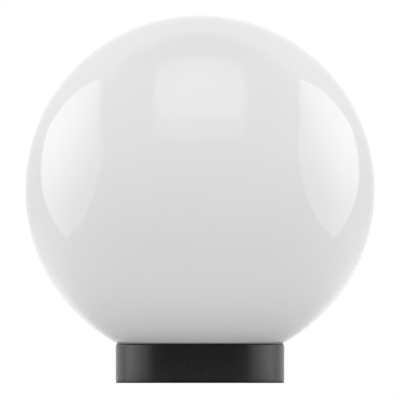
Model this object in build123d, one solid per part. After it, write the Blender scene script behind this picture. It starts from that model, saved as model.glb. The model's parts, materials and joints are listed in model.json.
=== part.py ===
from build123d import *
import math
import os

# Garden globe light: an opal globe that screws into a low black base, with an E27 lampholder
# on a bracket, a terminal block and an LED lamp inside.
# Millimetres. +Z is up along the globe's axis. The origin is the centre of the underside.

# ---------------------------------------------------------------- base and its gasket
base_diameter = 120.6
base_height = 27.8
base_wall = 3.0
base_floor = 3.0
base_top_radius = 1.2
gasket_thickness = 1.5
gasket_inset = 0.3
slot_spacing = 76.0
slot_width = 5.2
slot_length = 10.0
slot_collar_width = 1.6
slot_collar_height = 1.5

# ---------------------------------------------------------------- globe, its thread and seal
globe_diameter = 250.0
globe_wall = 2.8
shoulder_inset = 0.56
shoulder_thickness = 3.0
neck_length = 15.8
neck_wall = 3.0
seal_thickness = 0.5
seal_inset = 0.8
globe_pitch = 5.0
globe_turns = 1.25
globe_ridge_height = 1.7
globe_ridge_root = 2.8
globe_ridge_crest = 1.6
globe_thread_gap = 0.4
globe_ridge_lift = 2.2
ridge_bury = 0.3

# ---------------------------------------------------------------- cable grommet
grommet_x = 26.0
grommet_y = 24.0
grommet_bore = 9.0
grommet_neck = 16.0
grommet_flange = 21.0
grommet_flange_thickness = 1.2
grommet_cone_height = 3.5
grommet_hole_gap = 0.1

# ---------------------------------------------------------------- lampholder bracket
boss_spacing = 61.0
boss_diameter = 9.0
boss_height = 4.0
bracket_thickness = 1.5
bracket_width = 14.0
bracket_foot = 9.0
bracket_rise = 7.5
bracket_bend = 1.0
bracket_hole_gap = 0.3

# ---------------------------------------------------------------- lampholder
holder_diameter = 44.0
holder_top_diameter = 39.0
holder_height = 44.0
holder_chamber_depth = 11.5
holder_chamber_diameter = 36.0
holder_web = 4.0
holder_top_edge = 1.5
holder_lower_height = 14.0
holder_screw_spacing = 23.0
holder_post_diameter = 8.0
shell_wall = 0.7
shell_fit_gap = 0.1
shell_recess = 1.0
plunger_diameter = 4.8
plunger_flange_diameter = 8.4
plunger_flange_thickness = 1.2
plunger_stand_out = 3.0
plunger_preload_gap = 1.8
plunger_slide_gap = 0.1
plunger_chamfer = 0.6
spring_wire = 0.6
spring_diameter = 7.0
spring_turns = 5.0
tongue_thickness = 0.8
tongue_diameter = 10.0
tongue_drop = 9.0
terminal_x = 7.5
terminal_y = -9.0
terminal_side = 6.5
terminal_roof = 1.5
terminal_screw_height = 3.25
riser_width = 5.0
riser_thickness = 0.6
riser_height = 12.0
riser_foot_length = 4.0
keyway_gap = 0.2

# ---------------------------------------------------------------- lamp and its screw cap
lamp_length = 110.0
lamp_diameter = 60.0
lamp_clearance = 0.5
cap_pitch = 25.4 / 7
cap_crest_diameter = 26.4
cap_ridge_height = 0.95
cap_ridge_root = 2.0
cap_ridge_crest = 1.1
cap_turns = 4.0
shell_turns = 2.5
cap_thread_gap = 0.35
cap_wall = 0.5
cap_contact_diameter = 9.6
cap_contact_thickness = 1.2
cap_insulator_height = 5.0
cap_insulator_foot = 13.0
insulator_inset = 0.3
cap_lip = 3.0
cap_first_turn = 1.8
spigot_length = 12.0
spigot_fit_gap = 0.15
housing_wall = 1.6
housing_height = 44.0
housing_collar_height = 2.0
collar_overhang = 0.8
housing_rim_height = 16.0
spreader_wall = 1.0
spreader_height = 12.0
spreader_fit_gap = 0.15
spreader_hole = 12.0
led_board_thickness = 1.6
led_board_inset = 0.4
led_size = 3.0
led_height = 0.7
led_outer_count = 10
led_outer_ring = 38.0
led_inner_count = 5
led_inner_ring = 18.0
dome_wall = 1.2
dome_fit_gap = 0.2
dome_spigot_depth = 2.0
driver_thickness = 1.2
driver_fit_gap = 0.2
driver_height = 44.0
driver_start = 2.0
component_start = 5.6
capacitor_diameter = 8.0
capacitor_height = 14.0
capacitor_edge = 0.6
inductor_diameter = 7.0
inductor_height = 8.0
inductor_flange = 1.0
inductor_waist = 0.6
component_seat_gap = 0.05
pin_diameter = 1.0
pin_spacing = 6.0
lamp_wire_diameter = 1.0
cap_wire_y = 7.0
cap_wire_drop = 5.0

# ---------------------------------------------------------------- terminal block and leads
block_neck_gap = 2.3
block_direction = -47.8
block_length = 17.0
block_width = 20.0
block_foot_height = 9.0
block_height = 12.0
block_corner = 1.5
block_pad_height = 0.5
pole_pitch = 10.0
tower_diameter = 7.0
barrel_height = 5.5
barrel_diameter = 5.4
barrel_bore = 3.0
barrel_length = 14.0
barrel_fit_gap = 0.1
clamp_screw_spacing = 10.0
clamp_screw_diameter = 2.6
clamp_head_gap = 0.15
clamp_head_depth = 1.0
lead_diameter = 2.2
ferrule_diameter = 1.7
ferrule_length = 4.5
lead_entry_gap = 0.1
ferrule_gap = 0.15
lead_bend_share = 0.45

# ---------------------------------------------------------------- fasteners and shared details
root_overlap = 0.5
bracket_screw_diameter = 3.2
bracket_screw_length = 6.0
holder_screw_diameter = 3.4
holder_screw_length = 9.0
block_screw_diameter = 3.0
block_screw_length = 10.5
terminal_screw_diameter = 3.0
screw_gap = 0.05
screw_head_ratio = 1.9
screw_head_height = 2.0
recess_width = 0.8
recess_depth = 1.0
recess_share = 1.2
screw_head_edge = 0.8
screw_tip_chamfer = 0.6

# ---------------------------------------------------------------- heights worked out from these
base_radius = base_diameter / 2
base_inner_radius = base_radius - base_wall
floor_bottom = gasket_thickness
floor_top = floor_bottom + base_floor
shoulder_z = base_height + seal_thickness
shoulder_radius = base_radius - shoulder_inset
globe_radius = globe_diameter / 2
globe_inner_radius = globe_radius - globe_wall
globe_centre_z = shoulder_z + math.sqrt(globe_radius ** 2 - shoulder_radius ** 2)
neck_crest_radius = base_inner_radius - globe_thread_gap
neck_radius = neck_crest_radius - globe_ridge_height
neck_inner_radius = neck_radius - neck_wall
neck_bottom = shoulder_z - neck_length
boss_top = floor_top + boss_height
bracket_top = boss_top + bracket_thickness + bracket_rise
bracket_underside = bracket_top - bracket_thickness
holder_bottom = bracket_top
holder_top = holder_bottom + holder_height
web_bottom = holder_bottom + holder_chamber_depth
web_top = web_bottom + holder_web
lamp_bottom = web_top + plunger_stand_out
lamp_top = lamp_bottom + lamp_length
lamp_radius = lamp_diameter / 2
cap_crest_radius = cap_crest_diameter / 2
cap_root_radius = cap_crest_radius - cap_ridge_height
shell_inner_radius = cap_crest_radius + cap_thread_gap
shell_outer_radius = shell_inner_radius + shell_wall
socket_radius = shell_outer_radius + shell_fit_gap
insulator_bottom = lamp_bottom + cap_contact_thickness
cap_bottom = insulator_bottom + cap_insulator_height
cap_top = holder_top + lamp_clearance
cap_inner_radius = cap_root_radius - cap_wall
spigot_radius = cap_inner_radius - spigot_fit_gap
spigot_inner_radius = spigot_radius - housing_wall
spigot_bottom = cap_top - spigot_length
housing_top = cap_top + housing_height
plunger_flange_top = web_bottom - plunger_preload_gap
plunger_bottom = plunger_flange_top - plunger_flange_thickness
tongue_bottom = web_bottom - tongue_drop - tongue_thickness
tongue_top = tongue_bottom + tongue_thickness
terminal_screw_z = tongue_bottom + terminal_screw_height
spreader_top = housing_top - dome_spigot_depth - led_board_thickness
block_reach = neck_inner_radius - block_neck_gap
block_x = block_reach * math.cos(math.radians(block_direction)) - block_length / 2
block_y = block_reach * math.sin(math.radians(block_direction)) + block_width / 2
block_bottom = floor_top + block_pad_height
barrel_z = block_bottom + barrel_height
block_top = block_bottom + block_height

bottom_aligned = (Align.CENTER, Align.CENTER, Align.MIN)


def rod(radius, bottom, top, x=0.0, y=0.0):
    """A round bar that stands between two heights."""
    return Pos(x, y, bottom) * Cylinder(radius, top - bottom, align=bottom_aligned)


def tube(outer_radius, inner_radius, bottom, top, x=0.0, y=0.0):
    """A round bar with a round hole along it."""
    return rod(outer_radius, bottom, top, x, y) - rod(inner_radius, bottom, top, x, y)


def block(length, width, bottom, top, x=0.0, y=0.0):
    """A rectangular block that stands between two heights."""
    return Pos(x, y, bottom) * Box(length, width, top - bottom, align=bottom_aligned)


def bar_along_x(radius, start, end, y, z):
    """A round bar that lies along X."""
    return Pos(start, y, z) * Rot(0, 90, 0) * Cylinder(radius, end - start, align=bottom_aligned)


def bar_along_y(radius, start, end, x, z):
    """A round bar that lies along Y."""
    return Pos(x, start, z) * Rot(-90, 0, 0) * Cylinder(radius, end - start, align=bottom_aligned)


def turned(*points):
    """A solid of revolution about Z, from the (radius, height) corners of its half section."""
    return revolve(make_face(Plane.XZ * Polyline(*points, close=True)), Axis.Z)


def circle_arc(centre, radius, start_angle, end_angle):
    """An arc about a centre in the (radius, height) half plane, between two angles in degrees."""
    points = []
    for angle in (start_angle, (start_angle + end_angle) / 2, end_angle):
        turn = math.radians(angle)
        points.append((centre[0] + radius * math.cos(turn), centre[1] + radius * math.sin(turn)))
    return ThreePointArc(*points)


def arc_down_to(centre, radius, height):
    """The angle at which a circle about a centre reaches a height below it."""
    return math.degrees(math.asin((height - centre[1]) / radius))


def slot_prism(length, width, bottom, top, x, y):
    """A prism with round ends, long along Y."""
    section = Rot(0, 0, 90) * SlotOverall(length, width)
    return extrude(Pos(x, y, bottom) * section, top - bottom)


def thread_ridge(root_radius, height, root_width, crest_width, pitch, turns, start_z):
    """A right-hand helical ridge; a negative height makes one that stands inwards from a bore."""
    crest_radius = root_radius + height
    buried_radius = root_radius - math.copysign(ridge_bury, height)
    buried_width = root_width + (root_width - crest_width) * ridge_bury / abs(height)
    section = make_face(
        Plane.XZ
        * Polyline(
            (buried_radius, -buried_width / 2),
            (crest_radius, -crest_width / 2),
            (crest_radius, crest_width / 2),
            (buried_radius, buried_width / 2),
            close=True,
        )
    )
    path = Helix(pitch, pitch * turns, crest_radius)
    return Pos(0, 0, start_z) * sweep(section, path=path, is_frenet=True)


def screw(diameter, length):
    """A pan-head screw along Z with a cross recess; its head's underside lies at height 0."""
    head_radius = diameter * screw_head_ratio / 2
    head = rod(head_radius, 0, screw_head_height)
    head = fillet(head.edges().group_by(Axis.Z)[-1], screw_head_edge)
    recess_bottom = screw_head_height - recess_depth
    cross = block(recess_share * head_radius, recess_width, recess_bottom, screw_head_height)
    cross += Rot(0, 0, 90) * cross
    shank = rod(diameter / 2, -length, 0)
    shank = chamfer(shank.edges().group_by(Axis.Z)[0], screw_tip_chamfer)
    return head - cross + shank


# ---------------------------------------------------------------- base
base_thread_start = neck_bottom + globe_ridge_lift + globe_pitch / 2
boss_places = [(-boss_spacing / 2, 0), (boss_spacing / 2, 0)]
slot_places = [(0, -slot_spacing / 2), (0, slot_spacing / 2)]


def base_housing():
    """The black cup: wall, floor, thread ridge for the globe, bosses, collars and holes."""
    cup = rod(base_radius, floor_bottom, base_height)
    cup = fillet(cup.edges().group_by(Axis.Z)[-1], base_top_radius)
    cup -= rod(base_inner_radius, floor_top, base_height)
    cup += thread_ridge(
        base_inner_radius, -globe_ridge_height, globe_ridge_root, globe_ridge_crest,
        globe_pitch, globe_turns, base_thread_start,
    )
    for x, y in boss_places:
        cup += rod(boss_diameter / 2, floor_top - root_overlap, boss_top, x, y)
        cup -= rod(bracket_screw_diameter / 2 + screw_gap, floor_top, boss_top, x, y)
    collar_length = slot_length + 2 * slot_collar_width
    collar_width = slot_width + 2 * slot_collar_width
    collar_top = floor_top + slot_collar_height
    for x, y in slot_places:
        cup += slot_prism(collar_length, collar_width, floor_top - root_overlap, collar_top, x, y)
        cup -= slot_prism(slot_length, slot_width, floor_bottom, collar_top, x, y)
    cup += block(block_length, block_width, floor_top - root_overlap, block_bottom, block_x, block_y)
    screw_tip = block_bottom + block_foot_height - block_screw_length
    cup -= rod(
        block_screw_diameter / 2 + screw_gap, screw_tip - screw_gap, block_bottom, block_x, block_y
    )
    cup -= rod(grommet_neck / 2 + grommet_hole_gap, floor_bottom, floor_top, grommet_x, grommet_y)
    return cup


def mounting_gasket():
    """The foam pad under the base, with openings for the screws and the cable."""
    pad = rod(base_radius - gasket_inset, 0, gasket_thickness)
    for x, y in slot_places:
        pad -= slot_prism(slot_length, slot_width, 0, gasket_thickness, x, y)
    return pad - rod(grommet_flange / 2 + grommet_hole_gap, 0, gasket_thickness, grommet_x, grommet_y)


def cable_grommet():
    """The rubber ring in the floor that the supply cable comes up through."""
    flange = grommet_flange / 2
    neck = grommet_neck / 2
    bore = grommet_bore / 2
    upper_flange_top = floor_top + grommet_flange_thickness
    ring = turned(
        (bore, floor_bottom - grommet_flange_thickness),
        (flange, floor_bottom - grommet_flange_thickness),
        (flange, floor_bottom),
        (neck, floor_bottom),
        (neck, floor_top),
        (flange, floor_top),
        (flange, upper_flange_top),
        (neck, upper_flange_top),
        (bore + grommet_flange_thickness, upper_flange_top + grommet_cone_height),
        (bore, upper_flange_top + grommet_cone_height),
    )
    return Pos(grommet_x, grommet_y, 0) * ring


# ---------------------------------------------------------------- globe and its seal
def globe_seal():
    """The flat rubber ring between the globe's shoulder and the rim of the base."""
    return tube(base_radius - seal_inset, neck_radius + globe_thread_gap, base_height, shoulder_z)


def opal_globe():
    """The hollow globe with its flat shoulder, its neck and the thread ridge round the neck."""
    inner_floor_z = shoulder_z + shoulder_thickness
    inner_floor_radius = math.sqrt(globe_inner_radius ** 2 - (globe_centre_z - inner_floor_z) ** 2)
    centre = (0, globe_centre_z)
    shoulder_angle = arc_down_to(centre, globe_radius, shoulder_z)
    inner_floor_angle = arc_down_to(centre, globe_inner_radius, inner_floor_z)
    outer_arc = circle_arc(centre, globe_radius, 90, shoulder_angle)
    inner_arc = circle_arc(centre, globe_inner_radius, inner_floor_angle, 90)
    neck_line = Polyline(
        (shoulder_radius, shoulder_z),
        (neck_radius, shoulder_z),
        (neck_radius, neck_bottom),
        (neck_inner_radius, neck_bottom),
        (neck_inner_radius, inner_floor_z),
        (inner_floor_radius, inner_floor_z),
    )
    wall_line = Line(inner_arc @ 1, outer_arc @ 0)
    section = make_face(Plane.XZ * Curve(children=[outer_arc, neck_line, inner_arc, wall_line]))
    shell = revolve(section, Axis.Z)
    return shell + thread_ridge(
        neck_radius, globe_ridge_height, globe_ridge_root, globe_ridge_crest,
        globe_pitch, globe_turns, neck_bottom + globe_ridge_lift,
    )


# ---------------------------------------------------------------- lampholder and its bracket
holder_screw_places = [(-holder_screw_spacing / 2, 0), (holder_screw_spacing / 2, 0)]


def bends_at(strap, x, z):
    """The edges along Y at a distance from the middle and a height."""
    edges = strap.edges().filter_by(Axis.Y)
    return [e for e in edges if abs(abs(e.center().X) - x) < 0.01 and abs(e.center().Z - z) < 0.01]


def lampholder_bracket():
    """A bent steel strap: two feet on the bosses and a raised bridge under the lampholder."""
    foot_end = boss_spacing / 2 + bracket_foot / 2
    bridge_end = boss_spacing / 2 - bracket_foot / 2
    foot_top = boss_top + bracket_thickness
    right_side = [
        (bridge_end, bracket_top),
        (bridge_end, foot_top),
        (foot_end, foot_top),
        (foot_end, boss_top),
        (bridge_end - bracket_thickness, boss_top),
        (bridge_end - bracket_thickness, bracket_underside),
    ]
    left_side = [(-x, z) for x, z in reversed(right_side)]
    section = make_face(Plane.XZ * Polyline(*right_side, *left_side, close=True))
    strap = extrude(section, bracket_width / 2, both=True)
    riser_inside = bridge_end - bracket_thickness
    inner_bends = bends_at(strap, riser_inside, bracket_underside) + bends_at(strap, bridge_end, foot_top)
    strap = fillet(inner_bends, bracket_bend)
    outer_bends = bends_at(strap, bridge_end, bracket_top) + bends_at(strap, riser_inside, boss_top)
    strap = fillet(outer_bends, bracket_bend + bracket_thickness)
    for x, y in boss_places:
        strap -= rod(bracket_screw_diameter / 2 + bracket_hole_gap, boss_top, foot_top, x, y)
    for x, y in holder_screw_places:
        strap -= rod(holder_screw_diameter / 2 + bracket_hole_gap, bracket_underside, bracket_top, x, y)
    return strap


def bracket_screws():
    """The two screws that hold the bracket's feet to the bosses."""
    one = screw(bracket_screw_diameter, bracket_screw_length - bracket_thickness)
    return [Pos(x, y, boss_top + bracket_thickness) * one for x, y in boss_places]


def holder_screws():
    """The two screws that come up through the bridge into the lampholder's posts."""
    one = Rot(180, 0, 0) * screw(holder_screw_diameter, holder_screw_length)
    return [Pos(x, y, bracket_underside) * one for x, y in holder_screw_places]


riser_angle = math.degrees(math.atan2(terminal_y, -terminal_x)) % 360
riser_inner_radius = shell_outer_radius + shell_fit_gap / 2
riser_outer_radius = riser_inner_radius + riser_thickness


def riser_sector(inner_radius, outer_radius, width, bottom, top):
    """A short stretch of tube wall on the side where the neutral strip climbs."""
    middle = (inner_radius + outer_radius) / 2
    depth = 2 * (outer_radius - inner_radius) + width
    window = Rot(0, 0, riser_angle) * block(depth, width, bottom, top, middle, 0)
    return tube(outer_radius, inner_radius, bottom, top) & window


def lampholder_body():
    """The ceramic holder: a socket above a web, and a chamber for the terminals under it."""
    step_z = holder_bottom + holder_lower_height
    body = rod(holder_diameter / 2, holder_bottom, step_z)
    body += rod(holder_top_diameter / 2, step_z, holder_top)
    body = fillet(body.edges().group_by(Axis.Z)[-1], holder_top_edge)
    body -= rod(socket_radius, web_top, holder_top)
    body -= rod(holder_chamber_diameter / 2, holder_bottom, web_bottom)
    for x, y in holder_screw_places:
        body += rod(holder_post_diameter / 2, holder_bottom, web_bottom + root_overlap, x, y)
        body -= rod(
            holder_screw_diameter / 2 + screw_gap, holder_bottom,
            bracket_underside + holder_screw_length + screw_gap, x, y,
        )
    body -= rod(plunger_diameter / 2 + plunger_slide_gap, web_bottom, web_top)
    keyway = riser_sector(
        shell_outer_radius - keyway_gap, riser_outer_radius + keyway_gap, riser_width + 2 * keyway_gap,
        web_bottom, web_top + riser_height + keyway_gap,
    )
    return body - keyway


def screw_shell():
    """The threaded metal sleeve in the socket that the lamp's cap screws into."""
    sleeve = tube(shell_outer_radius, shell_inner_radius, web_top, holder_top - shell_recess)
    ridge = thread_ridge(
        shell_inner_radius, -cap_ridge_height, cap_ridge_root, cap_ridge_crest,
        cap_pitch, shell_turns, cap_bottom + cap_first_turn + cap_pitch / 2,
    )
    return sleeve + ridge


def terminal_post(x, y):
    """A square brass terminal under the web, with a hole for the lead and one for its screw."""
    post = block(terminal_side, terminal_side, tongue_bottom, web_bottom, x, y)
    post -= rod(ferrule_diameter / 2 + ferrule_gap, tongue_bottom, web_bottom - terminal_roof, x, y)
    face_y = y - terminal_side / 2
    return post - bar_along_y(terminal_screw_diameter / 2 + screw_gap, face_y, y, x, terminal_screw_z)


def live_strip():
    """The brass strip that carries the contact spring and ends in the live terminal."""
    disc = rod(tongue_diameter / 2, tongue_bottom, tongue_top)
    length = math.hypot(terminal_x, terminal_y)
    angle = math.degrees(math.atan2(terminal_y, terminal_x))
    arm = Rot(0, 0, angle) * block(length, riser_width, tongue_bottom, tongue_top, length / 2, 0)
    post = terminal_post(terminal_x, terminal_y)
    hole = rod(ferrule_diameter / 2 + ferrule_gap, tongue_bottom, tongue_top, terminal_x, terminal_y)
    return disc + arm - hole + post


def neutral_strip():
    """The brass strip that climbs beside the screw shell and ends in the neutral terminal."""
    riser = riser_sector(
        riser_inner_radius, riser_outer_radius, riser_width, web_bottom, web_top + riser_height
    )
    foot = riser_sector(
        riser_inner_radius - riser_foot_length, riser_outer_radius, riser_width,
        web_bottom - tongue_thickness, web_bottom,
    )
    return terminal_post(-terminal_x, terminal_y) + foot + riser


def holder_terminal_screws():
    """The two clamp screws that press on the leads in the lampholder's terminals."""
    length = terminal_side / 2 - ferrule_diameter / 2 - ferrule_gap
    one = Rot(90, 0, 0) * screw(terminal_screw_diameter, length)
    face_y = terminal_y - terminal_side / 2
    return [Pos(x, face_y, terminal_screw_z) * one for x in (-terminal_x, terminal_x)]


def contact_plunger():
    """The sprung centre contact that the lamp presses down."""
    pin = rod(plunger_diameter / 2, plunger_bottom, lamp_bottom)
    pin = chamfer(pin.edges().group_by(Axis.Z)[-1], plunger_chamfer)
    return pin + rod(plunger_flange_diameter / 2, plunger_bottom, plunger_flange_top)


def contact_spring():
    """The small coil spring between the live strip and the plunger's flange."""
    rise = plunger_bottom - tongue_top - spring_wire - 2 * component_seat_gap
    path = Helix(rise / spring_turns, rise, (spring_diameter - spring_wire) / 2)
    wire = Plane(origin=path @ 0, z_dir=path % 0) * Circle(spring_wire / 2)
    low = tongue_top + component_seat_gap + spring_wire / 2
    return Pos(0, 0, low) * sweep(wire, path=path, is_frenet=True)


# ---------------------------------------------------------------- lamp
def lamp_contact():
    """The solder-faced disc at the lamp's foot."""
    return rod(cap_contact_diameter / 2, lamp_bottom, insulator_bottom)


def lamp_insulator():
    """The black cone between the lamp's contact and its screw cap, with a hole for the contact pin."""
    hole = lamp_wire_diameter / 2 + component_seat_gap
    return turned(
        (hole, insulator_bottom),
        (cap_insulator_foot / 2, insulator_bottom),
        (cap_root_radius - insulator_inset, cap_bottom),
        (hole, cap_bottom),
    )


def lamp_cap():
    """The lamp's threaded metal cap with its turned-in lip."""
    cap = rod(cap_root_radius, cap_bottom, cap_top)
    cap += thread_ridge(
        cap_root_radius, cap_ridge_height, cap_ridge_root, cap_ridge_crest,
        cap_pitch, cap_turns, cap_bottom + cap_first_turn,
    )
    cap -= rod(cap_inner_radius, cap_bottom + cap_wall, cap_top)
    return cap - rod(cap_root_radius - cap_lip, cap_bottom, cap_bottom + cap_wall)


collar_radius = cap_crest_radius + collar_overhang
flare_bottom = cap_top + housing_collar_height
flare_top = housing_top - housing_rim_height
flare_width = lamp_radius - collar_radius
flare_radius = (flare_width ** 2 + (flare_top - flare_bottom) ** 2) / (2 * flare_width)
flare_centre = (lamp_radius - flare_radius, flare_top)
component_bottom = cap_top + component_start


def lamp_housing():
    """The lamp's plastic body: a spigot inside the cap and a flared shell above it."""
    inner_flare = flare_radius - housing_wall
    outer_start = arc_down_to(flare_centre, flare_radius, flare_bottom)
    inner_start = -math.degrees(math.acos((spigot_inner_radius - flare_centre[0]) / inner_flare))
    outer_arc = circle_arc(flare_centre, flare_radius, outer_start, 0)
    inner_arc = circle_arc(flare_centre, inner_flare, 0, inner_start)
    rim = Polyline(
        (lamp_radius, flare_top),
        (lamp_radius, housing_top),
        (lamp_radius - housing_wall, housing_top),
        (lamp_radius - housing_wall, flare_top),
    )
    foot = Polyline(
        inner_arc @ 1,
        (spigot_inner_radius, spigot_bottom),
        (spigot_radius, spigot_bottom),
        (spigot_radius, cap_top),
        (collar_radius, cap_top),
        outer_arc @ 0,
    )
    return revolve(make_face(Plane.XZ * Curve(children=[outer_arc, rim, inner_arc, foot])), Axis.Z)


def heat_spreader():
    """The aluminium cup under the LED board that takes the heat to the lamp's side."""
    radius = lamp_radius - housing_wall - spreader_fit_gap
    cup = rod(radius, spreader_top - spreader_height, spreader_top)
    cup = fillet(cup.edges().group_by(Axis.Z)[-1], spreader_wall / 2)
    cup -= rod(radius - spreader_wall, spreader_top - spreader_height, spreader_top - spreader_wall)
    return cup - rod(spreader_hole / 2, spreader_top - spreader_wall, spreader_top)


pin_places = [(0, -pin_spacing / 2), (0, pin_spacing / 2)]
led_board_top = spreader_top + led_board_thickness
driver_bottom = spigot_bottom + driver_start
driver_top = driver_bottom + driver_height


def led_board():
    """The round board that carries the LEDs, with holes for the driver's pins."""
    board = rod(lamp_radius - housing_wall - led_board_inset, spreader_top, led_board_top)
    for x, y in pin_places:
        board -= rod(pin_diameter / 2 + component_seat_gap, spreader_top, led_board_top, x, y)
    return board


def led_chips():
    """Two rings of LEDs on the board."""
    chips = []
    for count, ring_diameter in ((led_outer_count, led_outer_ring), (led_inner_count, led_inner_ring)):
        for step in range(count):
            one = block(led_size, led_size, led_board_top, led_board_top + led_height, ring_diameter / 2, 0)
            chips.append(Rot(0, 0, 360 * step / count) * one)
    return chips


def driver_board():
    """The upright board with the lamp's electronics, held at its edges in the spigot."""
    half_width = math.sqrt(spigot_inner_radius ** 2 - (driver_thickness / 2) ** 2) - driver_fit_gap
    return block(driver_thickness, 2 * half_width, driver_bottom, driver_top)


def driver_capacitor():
    """The smoothing capacitor on one face of the driver board."""
    radius = capacitor_diameter / 2
    low = component_bottom
    can = rod(radius, low, low + capacitor_height, driver_thickness / 2 + component_seat_gap + radius)
    return fillet(can.edges().group_by(Axis.Z)[-1], capacitor_edge)


def driver_inductor():
    """The drum-shaped inductor on the other face of the driver board."""
    radius = inductor_diameter / 2
    low = component_bottom
    high = low + inductor_height
    drum = rod(radius, low, high)
    drum -= tube(
        radius + root_overlap, radius - inductor_waist, low + inductor_flange, high - inductor_flange
    )
    return Pos(-driver_thickness / 2 - component_seat_gap - radius, 0, 0) * drum


def driver_pins():
    """The two pins that join the driver board to the LED board."""
    return [rod(pin_diameter / 2, driver_top, led_board_top + led_height, x, y) for x, y in pin_places]


def lamp_wires():
    """The pin from the contact up to the driver board, and the wire from the board to the cap."""
    radius = lamp_wire_diameter / 2
    contact_pin = rod(radius, insulator_bottom, driver_bottom)
    low = driver_bottom - cap_wire_drop
    path = FilletPolyline(
        (0, cap_wire_y, driver_bottom), (0, cap_wire_y, low), (0, cap_inner_radius - radius, low),
        radius=lead_bend_share * (cap_inner_radius - radius - cap_wire_y),
    )
    cap_wire = sweep(Plane(origin=path @ 0, z_dir=path % 0) * Circle(radius), path=path)
    return [contact_pin, cap_wire]


def lamp_diffuser():
    """The lamp's frosted dome with the spigot that stands on the LED board."""
    centre = (0, lamp_top - lamp_radius)
    inner_radius = lamp_radius - dome_wall
    spigot_outer = lamp_radius - housing_wall - dome_fit_gap
    spigot_inner = spigot_outer - dome_wall
    outer_arc = circle_arc(centre, lamp_radius, 90, 0)
    inner_arc = circle_arc(centre, inner_radius, 0, 90)
    side = Polyline(
        outer_arc @ 1,
        (lamp_radius, housing_top),
        (spigot_outer, housing_top),
        (spigot_outer, led_board_top),
        (spigot_inner, led_board_top),
        (spigot_inner, housing_top + dome_wall),
        (inner_radius, housing_top + 2 * dome_wall),
        inner_arc @ 0,
    )
    crown = Line(inner_arc @ 1, outer_arc @ 0)
    return revolve(make_face(Plane.XZ * Curve(children=[outer_arc, side, inner_arc, crown])), Axis.Z)


# ---------------------------------------------------------------- terminal block and leads
pole_ys = [block_y - pole_pitch / 2, block_y + pole_pitch / 2]
clamp_xs = [block_x - clamp_screw_spacing / 2, block_x + clamp_screw_spacing / 2]
block_foot_top = block_bottom + block_foot_height
clamp_tip_z = barrel_z + ferrule_diameter / 2 + component_seat_gap
clamp_seat_z = block_top - clamp_head_depth - screw_head_height
barrel_start = block_x - barrel_length / 2


def terminal_block_body():
    """The plastic body of the two-pole block, with a round tower over each clamp screw."""
    body = block(block_length, block_width, block_bottom, block_foot_top, block_x, block_y)
    body = fillet(body.edges().filter_by(Axis.Z), block_corner)
    head_radius = clamp_screw_diameter * screw_head_ratio / 2 + clamp_head_gap
    for y in pole_ys:
        for x in clamp_xs:
            body += rod(tower_diameter / 2, block_foot_top - root_overlap, block_top, x, y)
    for y in pole_ys:
        body -= bar_along_x(
            barrel_diameter / 2 + barrel_fit_gap, block_x - block_length / 2, block_x + block_length / 2,
            y, barrel_z,
        )
        for x in clamp_xs:
            body -= rod(head_radius, barrel_z, block_top, x, y)
    screw_hole = block_screw_diameter / 2 + barrel_fit_gap
    return body - rod(screw_hole, block_bottom, block_foot_top, block_x, block_y)


def terminal_barrels():
    """The brass tubes that join each supply wire to its lead."""
    barrels = []
    for y in pole_ys:
        barrel = bar_along_x(barrel_diameter / 2, barrel_start, barrel_start + barrel_length, y, barrel_z)
        barrel -= bar_along_x(barrel_bore / 2, barrel_start, barrel_start + barrel_length, y, barrel_z)
        for x in clamp_xs:
            barrel -= rod(
                clamp_screw_diameter / 2 + screw_gap, barrel_z, barrel_z + barrel_diameter, x, y
            )
        barrels.append(barrel)
    return barrels


def terminal_clamp_screws():
    """The four screws that clamp the wires in the barrels."""
    one = screw(clamp_screw_diameter, clamp_seat_z - clamp_tip_z)
    return [Pos(x, y, clamp_seat_z) * one for y in pole_ys for x in clamp_xs]


def terminal_block_screw():
    """The screw that holds the block to the base."""
    return Pos(block_x, block_y, block_foot_top) * screw(block_screw_diameter, block_screw_length)


lead_start_x = barrel_start - lead_entry_gap
lead_end_z = tongue_bottom - lead_entry_gap


def lead_route(pole_y, end_x):
    """The corner points of a lead, from its barrel to its terminal in the lampholder."""
    return [
        Vector(lead_start_x, pole_y, barrel_z),
        Vector(end_x, pole_y, barrel_z),
        Vector(end_x, terminal_y, barrel_z),
        Vector(end_x, terminal_y, lead_end_z),
    ]


def lead(name, pole_y, end_x):
    """A round insulated lead along its route, with arcs as large as the runs allow."""
    points = lead_route(pole_y, end_x)
    runs = [(after - before) for before, after in zip(points, points[1:])]
    radii = []
    for first, second in zip(runs, runs[1:]):
        half_turn = math.radians(first.get_angle(second)) / 2
        radii.append(lead_bend_share * min(first.length, second.length) / math.tan(half_turn))
    path = FilletPolyline(*points, radius=radii)
    section = Plane(origin=path @ 0, z_dir=path % 0) * Circle(lead_diameter / 2)
    print(name, "length", round(path.length, 1), "bend radii", [round(radius, 1) for radius in radii])
    return sweep(section, path=path)


def lead_ferrules():
    """The crimped sleeves at both ends of both leads."""
    radius = ferrule_diameter / 2
    ferrules = []
    for pole_y, end_x in lead_ends:
        ferrules.append(bar_along_x(radius, lead_start_x, lead_start_x + ferrule_length, pole_y, barrel_z))
        ferrules.append(rod(radius, lead_end_z, lead_end_z + ferrule_length, end_x, terminal_y))
    return ferrules


live_end = (pole_ys[1], terminal_x)
neutral_end = (pole_ys[0], -terminal_x)
lead_ends = [live_end, neutral_end]

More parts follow.
